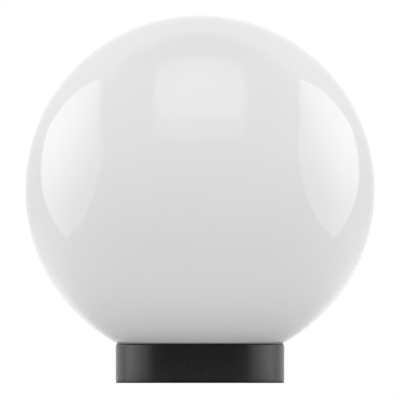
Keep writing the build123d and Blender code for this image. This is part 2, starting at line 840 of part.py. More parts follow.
# ---------------------------------------------------------------- write one file for each node
nodes = {
    "base_housing": base_housing(),
    "mounting_gasket": mounting_gasket(),
    "cable_grommet": cable_grommet(),
    "globe_seal": globe_seal(),
    "opal_globe": opal_globe(),
    "lampholder_bracket": lampholder_bracket(),
    "bracket_screws": bracket_screws(),
    "lampholder_screws": holder_screws(),
    "lampholder_body": lampholder_body(),
    "screw_shell": screw_shell(),
    "live_strip": live_strip(),
    "neutral_strip": neutral_strip(),
    "lampholder_terminal_screws": holder_terminal_screws(),
    "contact_plunger": contact_plunger(),
    "contact_spring": contact_spring(),
    "lamp_contact": lamp_contact(),
    "lamp_insulator": lamp_insulator(),
    "lamp_cap": lamp_cap(),
    "lamp_housing": lamp_housing(),
    "heat_spreader": heat_spreader(),
    "led_board": led_board(),
    "led_chips": led_chips(),
    "driver_board": driver_board(),
    "driver_capacitor": driver_capacitor(),
    "driver_inductor": driver_inductor(),
    "driver_pins": driver_pins(),
    "lamp_wires": lamp_wires(),
    "lamp_diffuser": lamp_diffuser(),
    "terminal_block_body": terminal_block_body(),
    "terminal_barrels": terminal_barrels(),
    "terminal_clamp_screws": terminal_clamp_screws(),
    "terminal_block_screw": terminal_block_screw(),
    "live_lead": lead("live lead", *live_end),
    "neutral_lead": lead("neutral lead", *neutral_end),
    "lead_ferrules": lead_ferrules(),
}

os.makedirs("parts", exist_ok=True)
for name, shape in nodes.items():
    if isinstance(shape, list):
        shape = Compound(children=shape)
    export_step(shape, f"parts/{name}.step")
print("globe centre height", round(globe_centre_z, 2))
print("total height", round(globe_centre_z + globe_radius, 2))
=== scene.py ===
# %% [markdown]
# # Garden globe light
# An outdoor light: an opal plastic globe screws into a low black base. This file sets up the studio in
# which the light is looked at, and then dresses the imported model, one piece at a time. All lengths are in
# metres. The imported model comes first, because every piece is placed by it.

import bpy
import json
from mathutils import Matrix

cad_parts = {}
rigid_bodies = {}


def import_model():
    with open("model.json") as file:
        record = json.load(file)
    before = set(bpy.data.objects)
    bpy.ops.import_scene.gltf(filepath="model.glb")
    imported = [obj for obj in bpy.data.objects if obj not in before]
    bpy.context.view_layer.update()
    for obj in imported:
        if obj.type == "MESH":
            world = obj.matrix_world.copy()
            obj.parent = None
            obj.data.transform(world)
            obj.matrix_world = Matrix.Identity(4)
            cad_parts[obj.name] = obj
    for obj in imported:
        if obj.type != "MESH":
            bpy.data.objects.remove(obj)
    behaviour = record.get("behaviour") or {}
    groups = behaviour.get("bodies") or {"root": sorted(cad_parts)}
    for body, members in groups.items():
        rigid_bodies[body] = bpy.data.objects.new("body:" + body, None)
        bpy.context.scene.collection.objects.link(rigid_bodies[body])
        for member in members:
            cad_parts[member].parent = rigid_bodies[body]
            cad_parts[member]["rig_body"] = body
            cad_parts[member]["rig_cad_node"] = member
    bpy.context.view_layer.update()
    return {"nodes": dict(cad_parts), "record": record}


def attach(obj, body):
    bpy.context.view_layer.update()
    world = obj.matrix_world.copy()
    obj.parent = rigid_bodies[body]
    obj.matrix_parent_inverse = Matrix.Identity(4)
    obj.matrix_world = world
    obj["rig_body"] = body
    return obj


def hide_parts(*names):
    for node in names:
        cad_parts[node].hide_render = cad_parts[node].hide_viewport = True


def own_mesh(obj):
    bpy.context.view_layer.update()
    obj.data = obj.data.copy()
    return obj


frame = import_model()

# %% Libraries
import json
import math

import bpy
from mathutils import Vector

# %% [markdown]
# ## Camera
# The globe and the base have straight, unconverging edges in the photograph, as through a very long lens,
# so an orthographic camera at the height of the light is the right one. Its scale is the width that the
# picture shows.

# %% Camera
picture_width = 0.2863
picture_centre_height = 0.1310
camera_distance = 1.5

bpy.ops.object.camera_add(location=(0, -camera_distance, picture_centre_height), rotation=(math.pi / 2, 0, 0))
camera = bpy.context.object
camera.name = "camera"
camera.data.type = "ORTHO"
camera.data.ortho_scale = picture_width
bpy.context.scene.camera = camera
print("camera sees", picture_width, "m across")

# %% [markdown]
# ## Studio
# A glossy globe is a mirror for its studio: its look comes from what stands round it. The photograph shows
# two large softboxes at the sides, a little behind the globe, one above the front, a white room behind and
# a dim room in front. The world lights everything evenly. Softboxes are flat faces that emit, so that the
# globe mirrors their true outline.

# %% View and shader nodes
bpy.context.scene.view_settings.view_transform = "Standard"
white = (1, 1, 1, 1)


def feed(tree, socket, value):
    """Links an output, or a node's first output, to an input, or sets the input to a plain value."""
    if isinstance(value, bpy.types.Node):
        value = value.outputs[0]
    if isinstance(value, bpy.types.NodeSocket):
        tree.links.new(value, socket)
    else:
        socket.default_value = value


def node(tree, kind, *feeds, **values):
    """Adds a shader node: feeds go to its inputs in order, values to the input or setting of their name."""
    made = tree.nodes.new(kind)
    for name, value in values.items():
        title = name.replace("_", " ")
        if title in made.inputs:
            feed(tree, made.inputs[title], value)
        else:
            setattr(made, name, value)
    for socket, value in zip(made.inputs, feeds):
        feed(tree, socket, value)
    return made


def maths(tree, operation, *feeds):
    return node(tree, "ShaderNodeMath", *feeds, operation=operation)


def emission(tree, strength):
    return node(tree, "ShaderNodeEmission", Color=white, Strength=strength)


def faded(tree, value, span, low=0.0, high=1.0):
    """Goes softly from low to high while a value crosses a span."""
    return node(tree, "ShaderNodeMapRange", value, interpolation_type="SMOOTHSTEP", From_Min=span[0],
                From_Max=span[1], To_Min=low, To_Max=high)


def seen_directly(tree):
    """Is 1 for rays from the camera, from gloss and through glass, which all see the white background."""
    path = node(tree, "ShaderNodeLightPath")
    any_ray = path.outputs["Is Camera Ray"]
    for ray in ("Is Glossy Ray", "Is Transmission Ray"):
        any_ray = maths(tree, "MAXIMUM", any_ray, path.outputs[ray])
    return any_ray


def circle(name, corners, fill_type="NOTHING", **values):
    """Adds a circle of so many corners, or a face of that outline, as the only selected object."""
    bpy.ops.object.select_all(action="DESELECT")
    bpy.ops.mesh.primitive_circle_add(vertices=corners, fill_type=fill_type, **values)
    bpy.context.object.name = name
    return bpy.context.object


def new_material(name):
    """A node material with an empty tree and an output."""
    material = bpy.data.materials.new(name)
    material.use_nodes = True
    material.node_tree.nodes.clear()
    output = node(material.node_tree, "ShaderNodeOutputMaterial")
    return material, material.node_tree, output.inputs["Surface"]


print("view transform", bpy.context.scene.view_settings.view_transform)

# %% World
room_light = 0.74

world = bpy.data.worlds.new("white room")
bpy.context.scene.world = world
world.use_nodes = True
background = world.node_tree.nodes["Background"]
background.inputs["Color"].default_value = white
strength = node(world.node_tree, "ShaderNodeMapRange", seen_directly(world.node_tree), To_Min=room_light,
                To_Max=1.0)
feed(world.node_tree, background.inputs["Strength"], strength)
print("room light", room_light)

# %% [markdown]
# The floor is pale and keeps the shadow of the light. Seen directly, it gets a little extra brightness, so
# that it runs into the white background, and beyond a metre it is plain white. Near the foot that extra
# fades out, which paints shade round the foot, deeper than the real contact shadow; the base mirrors it.
# Gloss sees the floor only close to the light, and beyond that the white room, because the real light was
# photographed high above the studio's floor. The floor lies a hair below the gasket, so that their faces
# don't lie in one plane.

# %% Floor
floor_radius = 2.5
floor_colour = (0.76, 0.76, 0.76, 1)
floor_lift = 0.25
floor_shadow_area = (0.55, 1.1)
floor_mirrored_area = (0.10, 0.25)
# Painted shade round the foot: within these distances the floor loses its extra brightness.
painted_foot_shade_area = (0.05, 0.11)
floor_gap = 0.0002

floor = circle("studio_floor", 96, "NGON", radius=floor_radius, location=(0, 0, -floor_gap))
material, tree, surface = new_material("studio floor")
where = node(tree, "ShaderNodeTexCoord").outputs["Object"]
distance = node(tree, "ShaderNodeVectorMath", where, operation="LENGTH").outputs["Value"]
matt = node(tree, "ShaderNodeBsdfDiffuse", Color=floor_colour)
# Painted shade: near the foot the extra brightness is taken away, so the floor and the base's lower gloss are
# darker there.
lift_beyond_painted_foot_shade = faded(tree, distance, painted_foot_shade_area, 0, floor_lift)
lift = emission(tree, maths(tree, "MULTIPLY", seen_directly(tree), lift_beyond_painted_foot_shade))
near = node(tree, "ShaderNodeAddShader", matt, lift)
far = node(tree, "ShaderNodeMixShader", seen_directly(tree), matt, emission(tree, 1.0))
solid_floor = node(tree, "ShaderNodeMixShader", faded(tree, distance, floor_shadow_area), near, far)
glossy = node(tree, "ShaderNodeLightPath").outputs["Is Glossy Ray"]
unseen = maths(tree, "MULTIPLY", faded(tree, distance, floor_mirrored_area), glossy)
clear = node(tree, "ShaderNodeBsdfTransparent", Color=white)
feed(tree, surface, node(tree, "ShaderNodeMixShader", unseen, solid_floor, clear))
floor.data.materials.append(material)
print("floor", floor_radius)

# %% [markdown]
# Each softbox is one flat face that adds its light to what is behind it. Its corners were found from the
# edges of its reflection: the ray from the camera to an edge, mirrored in the globe, meets the softbox's
# plane at a corner. The side ones are brightest near their middle, so a radial fade on Object coordinates
# dims them outwards. The one above the front has a bright upper part and a faint lower one, as a box with a
# fold of its cloth has, so it is made of two faces: a short one, and a long one that adds to it. Matt
# surfaces get only a share of all this light, which keeps the globe's own colour even.

# %% Softboxes
globe_centre = Vector((0, 0, 0.1381))
softbox_distance = 1.2


def direction(azimuth, elevation):
    """The way from the globe at these angles in degrees; azimuth 0 is towards the camera, 90 to the right."""
    around = math.radians(azimuth)
    upwards = math.radians(elevation)
    return Vector((math.sin(around) * math.cos(upwards), -math.cos(around) * math.cos(upwards),
                   math.sin(upwards)))


def glowing_face(name, azimuth, elevation, corners, flipped=False):
    """A flat face that faces the globe, with its corners in metres to the right and up on its own plane."""
    side = -1 if flipped else 1
    away = direction(azimuth * side, elevation)
    face = circle(name, len(corners), "NGON")
    for vertex, (right, up) in zip(face.data.vertices, corners):
        vertex.co = (right * side, up, 0)
    face.location = globe_centre + away * softbox_distance
    face.rotation_mode = "QUATERNION"
    face.rotation_quaternion = away.to_track_quat("-Z", "Y")
    face.visible_camera = False
    face.visible_shadow = False
    return face


def added_light(name, strength, hot_spot, radii, dimmed, soft_share):
    """A see-through light: full within the first radius of its hot spot, dimmed beyond the last."""
    material, tree, surface = new_material(name)
    where = node(tree, "ShaderNodeTexCoord").outputs["Object"]
    from_spot = node(tree, "ShaderNodeVectorMath", where, (*hot_spot, 0), operation="DISTANCE")
    fall = faded(tree, from_spot.outputs["Value"], radii, strength, strength * dimmed)
    glossy = node(tree, "ShaderNodeLightPath").outputs["Is Glossy Ray"]
    share = node(tree, "ShaderNodeMapRange", glossy, To_Min=soft_share, To_Max=1.0)
    glow = emission(tree, maths(tree, "MULTIPLY", share, fall))
    through = node(tree, "ShaderNodeBsdfTransparent", Color=white)
    feed(tree, surface, node(tree, "ShaderNodeAddShader", through, glow))
    return material


side_azimuth = -108
side_elevation = 13
side_corners = ((0.25, 0.73), (0.45, 0.46), (0.63, 0.10), (0.31, -0.33), (-0.07, -0.76), (-0.60, -0.66),
                (-0.95, -0.30), (-0.95, 0.20), (-0.72, 0.40), (-0.18, 0.68))
side_strength = 1.80
for name, flipped in (("softbox_left", False), ("softbox_right", True)):
    face = glowing_face(name, side_azimuth, side_elevation, side_corners, flipped)
    spot = (0.12 if flipped else -0.12, 0.07)
    face.data.materials.append(added_light(name, side_strength, spot, radii=(0.17, 0.68), dimmed=0.57,
                                           soft_share=0.4))


def both_sides(half):
    """A corner list that runs down the right side, with its mirror image up the left side."""
    return half + tuple((-right, up) for right, up in reversed(half))


front_elevation = 60
rounded_top = ((0.25, 0.92), (0.36, 0.87), (0.44, 0.79), (0.50, 0.68), (0.53, 0.50))
short_side = ((0.54, 0.10), (0.53, -0.13), (0.50, -0.22), (0.42, -0.27))
long_side = ((0.54, 0.30), (0.575, 0.14), (0.60, -0.10), (0.63, -0.30), (0.69, -0.57), (0.35, -0.645),
             (0, -0.675))
for name, side, strength, soft_share in (("softbox_top", short_side, 1.0, 0.1),
                                         ("softbox_front", long_side, 0.92, 0.4)):
    face = glowing_face(name, 0, front_elevation, both_sides(rounded_top + side))
    face.data.materials.append(added_light(name, strength, (0, -0.05), radii=(0.2, 1.4), dimmed=0.0,
                                           soft_share=soft_share))
    print(name, strength)

# %% [markdown]
# One large round lamp above the camera lights the front of the globe evenly. It stands outside the mirror
# image, so gloss doesn't see it.

# %% Front lamp
front_lamp_power = 3.15
front_lamp_distance = 2.0
front_lamp_size = 1.5
front_lamp_elevation = 30

away = direction(0, front_lamp_elevation)
bpy.ops.object.light_add(type="AREA", location=globe_centre + away * front_lamp_distance)
front_lamp = bpy.context.object
front_lamp.name = "front_lamp"
front_lamp.rotation_mode = "QUATERNION"
front_lamp.rotation_quaternion = away.to_track_quat("Z", "Y")
front_lamp.data.shape = "DISK"
front_lamp.data.size = front_lamp_size
front_lamp.data.energy = front_lamp_power
front_lamp.visible_glossy = False
print("front lamp", front_lamp_power, "W")

# %% [markdown]
# The room itself shows in the gloss too. The photographer's side is dim, which the black base shows best:
# it is almost black in its middle. The ceiling is dim, more so towards the front. The walls are pale, a
# little brighter higher up, and the backdrop and the floor behind are white. A large dome with these levels
# stands round the light. Each fades into the next over a span, in metres from the dome's middle. Only gloss
# sees the dome.

# %% The room in the gloss
dome_radius = 2.0
dim_level = 0.24
wall_level = 0.80
far_floor_level = 1.15
backdrop_extra = 0.12
high_wall_extra = 0.09
front_to_back = (-1.56, 1.24)
wall_to_backdrop = (1.72, 1.94)
ceiling_tilt = (0, -0.5, 1)
wall_to_ceiling = (0.80, 1.60)
low_to_high_wall = (0.0, 0.70)
floor_to_wall = (-0.60, 0.0)

bpy.ops.object.select_all(action="DESELECT")
bpy.ops.mesh.primitive_uv_sphere_add(segments=48, ring_count=24, radius=dome_radius, location=globe_centre)
dome = bpy.context.object
dome.name = "room_in_gloss"
for ray in ("camera", "diffuse", "transmission", "shadow", "volume_scatter"):
    setattr(dome, "visible_" + ray, False)
material, tree, surface = new_material("room in gloss")
where = node(tree, "ShaderNodeTexCoord").outputs["Object"]
split = node(tree, "ShaderNodeSeparateXYZ", where).outputs
tilted = node(tree, "ShaderNodeVectorMath", where, ceiling_tilt, operation="DOT_PRODUCT").outputs["Value"]
clear = maths(tree, "MULTIPLY", faded(tree, split["Y"], front_to_back),
              faded(tree, tilted, wall_to_ceiling, 1, 0))
wall = maths(tree, "ADD", faded(tree, split["Z"], floor_to_wall, far_floor_level, wall_level),
             faded(tree, split["Z"], low_to_high_wall, 0, high_wall_extra))
behind = maths(tree, "ADD", wall, faded(tree, split["Y"], wall_to_backdrop, 0, backdrop_extra))
level = node(tree, "ShaderNodeMapRange", clear, To_Min=dim_level, To_Max=behind)
feed(tree, surface, emission(tree, level))
dome.data.materials.append(material)
print("room levels", dim_level, wall_level, far_floor_level)

# %% [markdown]
# ## Finishes
# Each finish is built from nodes that read Object coordinates, so a pattern stays on its piece. What
# several finishes share is a node group: a fine unevenness of colour and gloss, as moulded and pressed
# parts have.

# %% Shared grain group
broad_scale = 22.0

grain_group = bpy.data.node_groups.new("fine grain", "ShaderNodeTree")
for way, kinds in (
    ("INPUT", {"Colour": "Color", "Colour Change": "Float", "Roughness": "Float", "Roughness Change": "Float",
               "Size": "Float"}),
    ("OUTPUT", {"Colour": "Color", "Roughness": "Float", "Height": "Float"}),
):
    for name, kind in kinds.items():
        grain_group.interface.new_socket(name=name, in_out=way, socket_type="NodeSocket" + kind)
tree = grain_group
given = node(tree, "NodeGroupInput").outputs
where = node(tree, "ShaderNodeTexCoord").outputs["Object"]
per_metre = maths(tree, "DIVIDE", 1.0, given["Size"])
noise = node(tree, "ShaderNodeTexNoise", Vector=where, Scale=per_metre, Detail=3.0, Roughness=0.6)
fine = noise.outputs["Fac"]
broad = node(tree, "ShaderNodeTexNoise", Vector=where, Scale=broad_scale, Detail=2.0).outputs["Fac"]
gain = maths(tree, "MULTIPLY_ADD", maths(tree, "SUBTRACT", broad, 0.5), given["Colour Change"], 1.0)
tinted = node(tree, "ShaderNodeVectorMath", given["Colour"], operation="SCALE", Scale=gain)
rough = maths(tree, "MULTIPLY_ADD", maths(tree, "SUBTRACT", fine, 0.5), given["Roughness Change"],
              given["Roughness"])
node(tree, "NodeGroupOutput", Colour=tinted, Roughness=rough, Height=fine)
print("group", grain_group.name, len(tree.nodes), "nodes")


# %% A finish from the grain group
def finish(name, colour, roughness, metal=0.0, grain=0.0005, depth=0.00002, colour_change=0.06,
           roughness_change=0.10, ior=1.5):
    """A Principled material whose colour, roughness and relief come from the grain group."""
    material, tree, surface = new_material(name)
    grained = node(tree, "ShaderNodeGroup", node_tree=grain_group, Colour=(*colour, 1), Roughness=roughness,
                   Colour_Change=colour_change, Roughness_Change=roughness_change, Size=grain).outputs
    relief = node(tree, "ShaderNodeBump", Strength=1.0, Distance=depth, Height=grained["Height"])
    feed(tree, surface, node(tree, "ShaderNodeBsdfPrincipled", Metallic=metal, IOR=ior, Normal=relief,
                             Base_Color=grained["Colour"], Roughness=grained["Roughness"]))
    return material


finishes = {
    "black_plastic": finish("satin black plastic", (0.006, 0.006, 0.006), 0.27, depth=0.000004, ior=1.45),
    "black_rubber": finish("matt black rubber", (0.005, 0.005, 0.005), 0.42, ior=1.40),
    "opal_plastic": finish("glossy opal plastic", (0.86, 0.86, 0.86), 0.06, depth=0, colour_change=0.01,
                           roughness_change=0.02, ior=1.49),
    "zinc_steel": finish("zinc-plated steel", (0.60, 0.61, 0.62), 0.32, metal=1.0),
    "white_ceramic": finish("glazed porcelain", (0.80, 0.79, 0.75), 0.10),
    "nickel_brass": finish("nickel-plated brass", (0.70, 0.68, 0.63), 0.18, metal=1.0),
    "bare_brass": finish("bare brass", (0.72, 0.53, 0.24), 0.28, metal=1.0),
    "solder": finish("tinned contact", (0.64, 0.64, 0.63), 0.38, metal=1.0),
    "black_plastic_insulator": finish("black cap insulator", (0.012, 0.012, 0.012), 0.12),
    "white_plastic": finish("satin white plastic", (0.78, 0.78, 0.78), 0.38),
    "aluminium": finish("pressed aluminium", (0.75, 0.76, 0.77), 0.36, metal=1.0),
    "white_board": finish("white circuit board", (0.82, 0.82, 0.80), 0.30),
    "led_yellow": finish("yellow phosphor", (0.80, 0.58, 0.08), 0.35),
    "green_board": finish("green circuit board", (0.03, 0.20, 0.07), 0.30),
    "capacitor_sleeve": finish("capacitor sleeve", (0.02, 0.02, 0.04), 0.25),
    "ferrite": finish("ferrite", (0.05, 0.05, 0.05), 0.60),
    "tinned_wire": finish("tinned copper", (0.68, 0.68, 0.68), 0.30, metal=1.0),
    "frosted_dome": finish("frosted dome", (0.84, 0.84, 0.82), 0.55),
    "natural_plastic": finish("natural polyamide", (0.76, 0.74, 0.68), 0.40),
    "brown_insulation": finish("brown insulation", (0.15, 0.05, 0.02), 0.40),
    "blue_insulation": finish("blue insulation", (0.03, 0.12, 0.50), 0.40),
}
slot_names = {material["slot"] for material in frame["record"]["materials"]}
print(len(finishes), "finishes, unused", sorted(slot_names ^ set(finishes)))

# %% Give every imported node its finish
slot_of = {part["node"]: part["material_slot"] for part in frame["record"]["subparts"]}
body_of = {name: body for body, names in frame["record"]["behaviour"]["bodies"].items() for name in names}
for name, obj in frame["nodes"].items():
    obj.data.materials.clear()
    obj.data.materials.append(finishes[slot_of[name]])
print(len(frame["nodes"]), "nodes have a finish")

# %% [markdown]
# ## Tools for the pieces
# Every piece is made in the same few steps, so each step is a small function. Selecting comes first, because
# the mesh tools work on what is selected. Closing leaves a watertight mesh with its faces outwards.

# %% Selecting and closing
def alone(piece):
    """Makes a piece the only one that is selected, and the active one."""
    bpy.ops.object.select_all(action="DESELECT")
    piece.select_set(True)
    bpy.context.view_layer.objects.active = piece


def modified(piece, kind, **settings):
    """Adds a modifier with these settings to a piece and applies it."""
    bpy.context.view_layer.objects.active = piece
    modifier = piece.modifiers.new(kind, kind)
    for name, value in settings.items():
        setattr(modifier, name, value)
    bpy.ops.object.modifier_apply(modifier=modifier.name)


def duplicate(piece):
    """A copy of a piece with a mesh of its own."""
    copy = piece.copy()
    copy.data = piece.data.copy()
    bpy.context.scene.collection.objects.link(copy)
    return copy


def closed(merge=1e-7, sides=0):
    """Merges the active piece's doubled corners, fills holes of so many sides and turns faces outwards."""
    bpy.ops.object.mode_set(mode="EDIT")
    bpy.ops.mesh.select_all(action="SELECT")
    bpy.ops.mesh.remove_doubles(threshold=merge)
    if sides:
        bpy.ops.mesh.fill_holes(sides=sides)
        bpy.ops.mesh.select_all(action="SELECT")
    bpy.ops.mesh.normals_make_consistent(inside=False)
    bpy.ops.object.mode_set(mode="OBJECT")


def chosen(piece, kind, select):
    """Opens a piece with only those of its edges, vertices or polygons selected that pass a test."""
    bpy.ops.object.mode_set(mode="EDIT")
    bpy.ops.mesh.select_mode(type={"edges": "EDGE", "vertices": "VERT", "polygons": "FACE"}[kind])
    bpy.ops.mesh.select_all(action="DESELECT")
    bpy.ops.object.mode_set(mode="OBJECT")
    for element in getattr(piece.data, kind):
        element.select = select(element)
    bpy.ops.object.mode_set(mode="EDIT")


print("tools for selecting and closing")

# %% [markdown]
# ## Round pieces
# Most pieces of this light are turned or moulded round one axis. In Blender such a piece can be spun from a
# profile, but it is easier to see it grow: a circle is added, and its rim is extruded and scaled from
# corner to corner of the half section, as if on a lathe. A section that comes back to its start makes a
# ring. One that doesn't gets a flat face at each end.

# %% A lathe made of extrude and scale
def turned(name, corners, slices=128, centre=(0, 0), ring=False):
    """A closed round piece whose half section runs through these (radius, height) corners, in metres."""
    radius, height = corners[0]
    piece = circle(name, slices, "NOTHING" if ring else "NGON", radius=radius, location=(*centre, height))
    bpy.ops.object.transform_apply(location=True)
    chosen(piece, "edges", lambda edge: True)
    for next_radius, next_height in corners[1:] + corners[:1] * ring:
        scale = next_radius / radius
        bpy.ops.mesh.extrude_edges_move(TRANSFORM_OT_translate={"value": (0, 0, next_height - height)})
        bpy.ops.transform.resize(value=(scale, scale, 1), center_override=(*centre, next_height))
        radius, height = next_radius, next_height
    if not ring:
        bpy.ops.mesh.edge_face_add()
    closed()
    return piece


def rod(name, radius, bottom, top, slices, place=(0, 0)):
    """An upright round bar."""
    return turned(name, [(radius, bottom), (radius, top)], slices, place)


def tube(name, inner, outer, bottom, top, slices):
    """An upright tube between two radii."""
    return turned(name, [(inner, bottom), (outer, bottom), (outer, top), (inner, top)], slices, ring=True)


def arc(centre_radius, centre_height, radius, start, end, steps):
    """Corners along an arc of the half section, between two angles in degrees from straight outwards."""
    turns = [math.radians(start + (end - start) * step / steps) for step in range(steps + 1)]
    return [(centre_radius + radius * math.cos(turn), centre_height + radius * math.sin(turn))
            for turn in turns]


print("a lathe, and arcs for its corners")

# %% [markdown]
# A moulded or pressed piece has no sharp edge, so each gets a narrow bevel. Shapes are added to a piece and
# cut out of it with the Boolean modifier. A shape that cuts reaches past the surface, and one that is added
# stands a little way in what carries it, because two faces in one plane would leave the result open.

# %% Easing, adding and cutting
sharp_angle = 40
past = 0.0010
added_root = 0.0005


def eased(piece, width):
    """Takes the sharpness off every edge, as a mould or a burnishing wheel does."""
    modified(piece, "BEVEL", width=width, segments=2, limit_method="ANGLE",
             angle_limit=math.radians(sharp_angle))


def combined(piece, tool, operation="UNION"):
    """Adds a shape to a piece, or cuts it out, with a Boolean modifier, and clears what slivers it leaves."""
    modified(piece, "BOOLEAN", operation=operation, solver="EXACT", object=tool)
    bpy.data.objects.remove(tool)
    bpy.ops.object.mode_set(mode="EDIT")
    bpy.ops.mesh.select_all(action="SELECT")
    bpy.ops.mesh.dissolve_degenerate(threshold=1e-6)
    bpy.ops.mesh.delete_loose()
    bpy.ops.object.mode_set(mode="OBJECT")


def bored(piece, radius, bottom, top, place, slices):
    """Cuts an upright round hole."""
    combined(piece, rod("bore", radius, bottom, top, slices, place), "DIFFERENCE")


def placed(name, pattern, places):
    """A copy of the pattern at each place and turn, joined to one piece; the pattern goes."""
    copies = [duplicate(pattern) for _ in places]
    for copy, (place, turn) in zip(copies, places):
        copy.location = place
        copy.rotation_euler = turn
    bpy.data.objects.remove(pattern)
    bpy.ops.object.select_all(action="DESELECT")
    for copy in copies:
        copy.select_set(True)
    bpy.context.view_layer.objects.active = copies[0]
    bpy.ops.object.transform_apply(location=True, rotation=True)
    if len(copies) > 1:
        bpy.ops.object.join()
    copies[0].name = name
    return copies[0]


replaced = set()


def finished(piece, packed, angle=35):
    """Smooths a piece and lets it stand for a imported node, with the node's finish and on its body."""
    alone(piece)
    bpy.ops.object.shade_smooth_by_angle(angle=math.radians(angle))
    modified(piece, "WEIGHTED_NORMAL", keep_sharp=True)
    piece.data.materials.clear()
    piece.data.materials.append(finishes[slot_of[packed]])
    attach(piece, body_of[packed])
    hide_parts(packed)
    replaced.add(packed)
    print(piece.name, len(piece.data.polygons), "faces")


print("cutting shapes reach", past, "past a surface")

# %% [markdown]
# A moulded screw thread is a ridge with a four-cornered section that climbs round the axis. The Screw
# modifier makes exactly that from one flat face: it turns the section and lifts it as it turns. Both
# threads of the globe use it, the one round the globe's neck with its section outwards and the one in the
# base inwards. The lamp's cap and its socket are rolled from sheet metal, so their ridges have a round
# section instead.

# %% A thread ridge from the Screw modifier
ridge_depth_in_wall = 0.0003
rolled_roundness = 2.2
rolled_steps = 10


def wound(piece, turns, rise, steps):
    """Sweeps a flat section round the Z axis while it rises, and closes both ends."""
    sides = len(piece.data.vertices)
    modified(piece, "SCREW", angle=math.tau * turns, screw_offset=rise, steps=steps, render_steps=steps)
    closed(sides=sides)


def thread_ridge(name, root_radius, height, root_width, crest_width, pitch, turns, start_height, rolled=False,
                 steps=120):
    """A right-hand ridge with closed ends; a negative height makes it stand inwards from a bore."""
    crest = root_radius + height
    buried = root_radius - math.copysign(ridge_depth_in_wall, height)
    buried_width = root_width + (root_width - crest_width) * ridge_depth_in_wall / abs(height)
    section = [(buried, -buried_width), (crest, -crest_width), (crest, crest_width), (buried, buried_width)]
    if rolled:
        shares = [2 * step / rolled_steps - 1 for step in range(rolled_steps + 1)]
        swell = [(root_radius + height * (1 - abs(share) ** rolled_roundness), share * root_width)
                 for share in shares]
        section = [(buried, -root_width), *swell, (buried, root_width)]
    ridge = circle(name, len(section))
    for vertex, (radius, width) in zip(ridge.data.vertices, section):
        vertex.co = (radius, 0, start_height + width / 2)
    wound(ridge, turns, pitch * turns, round(steps * turns))
    return ridge


globe_thread_height = 0.0017
globe_thread = dict(root_width=0.0028, crest_width=0.0016, pitch=0.005, turns=1.25)
print("thread climbs", globe_thread["pitch"] * globe_thread["turns"])

# %% [markdown]
# ## Opal globe
# The globe is blow-moulded acrylic: a sphere, a small shoulder that sits on the seal, and a neck with a
# screw thread. A sphere primitive is cut open at the shoulder, its open edge is extruded into the neck,
# Solidify gives it its wall, and the thread is added to the neck.

# %% Sizes of the globe
globe_radius = 0.125
globe_wall = 0.0028
shoulder_height = 0.0283
neck_radius = 0.0552
neck_bottom = 0.0125
globe_thread_start = neck_bottom + 0.0022
shoulder_radius = math.sqrt(globe_radius**2 - (globe_centre.z - shoulder_height) ** 2)
print("shoulder radius", round(shoulder_radius, 5))

# %% Globe shell
bpy.ops.object.select_all(action="DESELECT")
bpy.ops.mesh.primitive_uv_sphere_add(segments=192, ring_count=96, radius=globe_radius, location=globe_centre)
globe = bpy.context.object
globe.name = "globe_shell"
bpy.ops.object.transform_apply(location=True)
bpy.ops.object.mode_set(mode="EDIT")
bpy.ops.mesh.select_all(action="SELECT")
bpy.ops.mesh.bisect(plane_co=(0, 0, shoulder_height), plane_no=(0, 0, 1), clear_inner=True)
chosen(globe, "vertices", lambda vertex: abs(vertex.co.z - shoulder_height) < 1e-6)
inward = neck_radius / shoulder_radius
bpy.ops.mesh.extrude_region_move()
bpy.ops.transform.resize(value=(inward, inward, 1), center_override=(0, 0, shoulder_height))
bpy.ops.mesh.extrude_region_move(TRANSFORM_OT_translate={"value": (0, 0, neck_bottom - shoulder_height)})
bpy.ops.object.mode_set(mode="OBJECT")
modified(globe, "SOLIDIFY", thickness=globe_wall, offset=-1, use_even_offset=True)
print("globe", len(globe.data.polygons), "faces")

# %% Thread of the globe
ridge = thread_ridge("globe_thread", neck_radius, globe_thread_height, start_height=globe_thread_start,
                     **globe_thread)
combined(globe, ridge)
finished(globe, "opal_globe", angle=30)

# %% [markdown]
# ## Base
# The base is an injection-moulded cup: an outer wall with a small rounded rim, a floor, two hollow posts
# for the bracket, two long slots with collars for the screws that fix it to the ground, a round hole for
# the cable's grommet, a raised pad under the terminal block, and the thread that takes the globe. The cup
# is turned first. Posts, collars and the thread are added to it, and then the holes are cut.

# %% Cup of the base
base_radius = 0.0603
base_bore = 0.0573
floor_bottom = 0.0015
floor_top = 0.0045
base_top = 0.0278
rim_radius = 0.0012

housing = turned(
    "base_cup",
    [(base_bore, floor_top), (base_bore, base_top)]
    + arc(base_radius - rim_radius, base_top - rim_radius, rim_radius, 90, 0, 8)
    + [(base_radius, floor_bottom)],
    slices=256,
)
print("cup", len(housing.data.polygons), "faces")

# %% Posts, collars and pad
post_places = [(-0.0305, 0), (0.0305, 0)]
slot_places = [(0, -0.038), (0, 0.038)]
pad_place = (0.0250, -0.0270)
post_radius = 0.0045
post_top = 0.0085
collar_size = (0.0132, 0.0084)
collar_top = 0.0060
pad_size = (0.0170, 0.0200)
pad_top = 0.0050


def long_hole(name, length, width, bottom, top, place):
    """An upright block with round ends, long along Y: a circle pulled apart and extruded."""
    shape = circle(name, 48, "NGON", radius=width / 2, location=(*place, bottom))
    for vertex in shape.data.vertices:
        if abs(vertex.co.y) > 1e-6:
            vertex.co.y += math.copysign((length - width) / 2, vertex.co.y)
    bpy.ops.object.transform_apply(location=True)
    bpy.ops.object.mode_set(mode="EDIT")
    bpy.ops.mesh.select_all(action="SELECT")
    bpy.ops.mesh.extrude_region_move(TRANSFORM_OT_translate={"value": (0, 0, top - bottom)})
    closed()
    return shape


